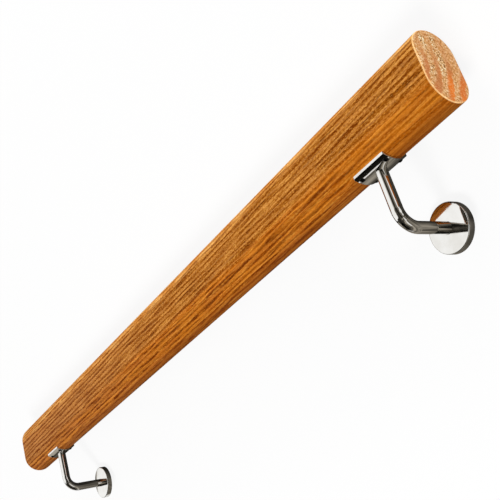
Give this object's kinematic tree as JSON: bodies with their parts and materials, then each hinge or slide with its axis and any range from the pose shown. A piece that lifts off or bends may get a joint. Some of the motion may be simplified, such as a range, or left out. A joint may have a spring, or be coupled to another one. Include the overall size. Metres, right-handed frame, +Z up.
{
  "type": "stair handrail length",
  "caption": "Straight obround oak handrail length with polished bent-bar wall brackets, laid on its back.",
  "frame": {"origin": "on the floor under the middle of the part as it lies, halfway along the rail", "axes": "+X along the rail, +Z up from the floor; the wall faces of the brackets point down and towards -Y"},
  "size_m": [1.05, 0.175, 0.0696],
  "materials": {
    "oak": "golden stained oak, satin varnish",
    "polished_steel": "mirror-polished stainless steel",
    "dark_screw": "black-oxide steel screw"
  },
  "bodies": {
    "root": {"rail": "oak", "left_saddle": "polished_steel", "left_arm": "polished_steel", "left_flange": "polished_steel", "left_cover": "polished_steel", "left_screw_1": "dark_screw", "left_screw_2": "dark_screw", "left_screw_3": "dark_screw", "left_screw_4": "dark_screw", "right_saddle": "polished_steel", "right_arm": "polished_steel", "right_flange": "polished_steel", "right_cover": "polished_steel", "right_screw_1": "dark_screw", "right_screw_2": "dark_screw", "right_screw_3": "dark_screw", "right_screw_4": "dark_screw"}
  },
  "joints": []
}
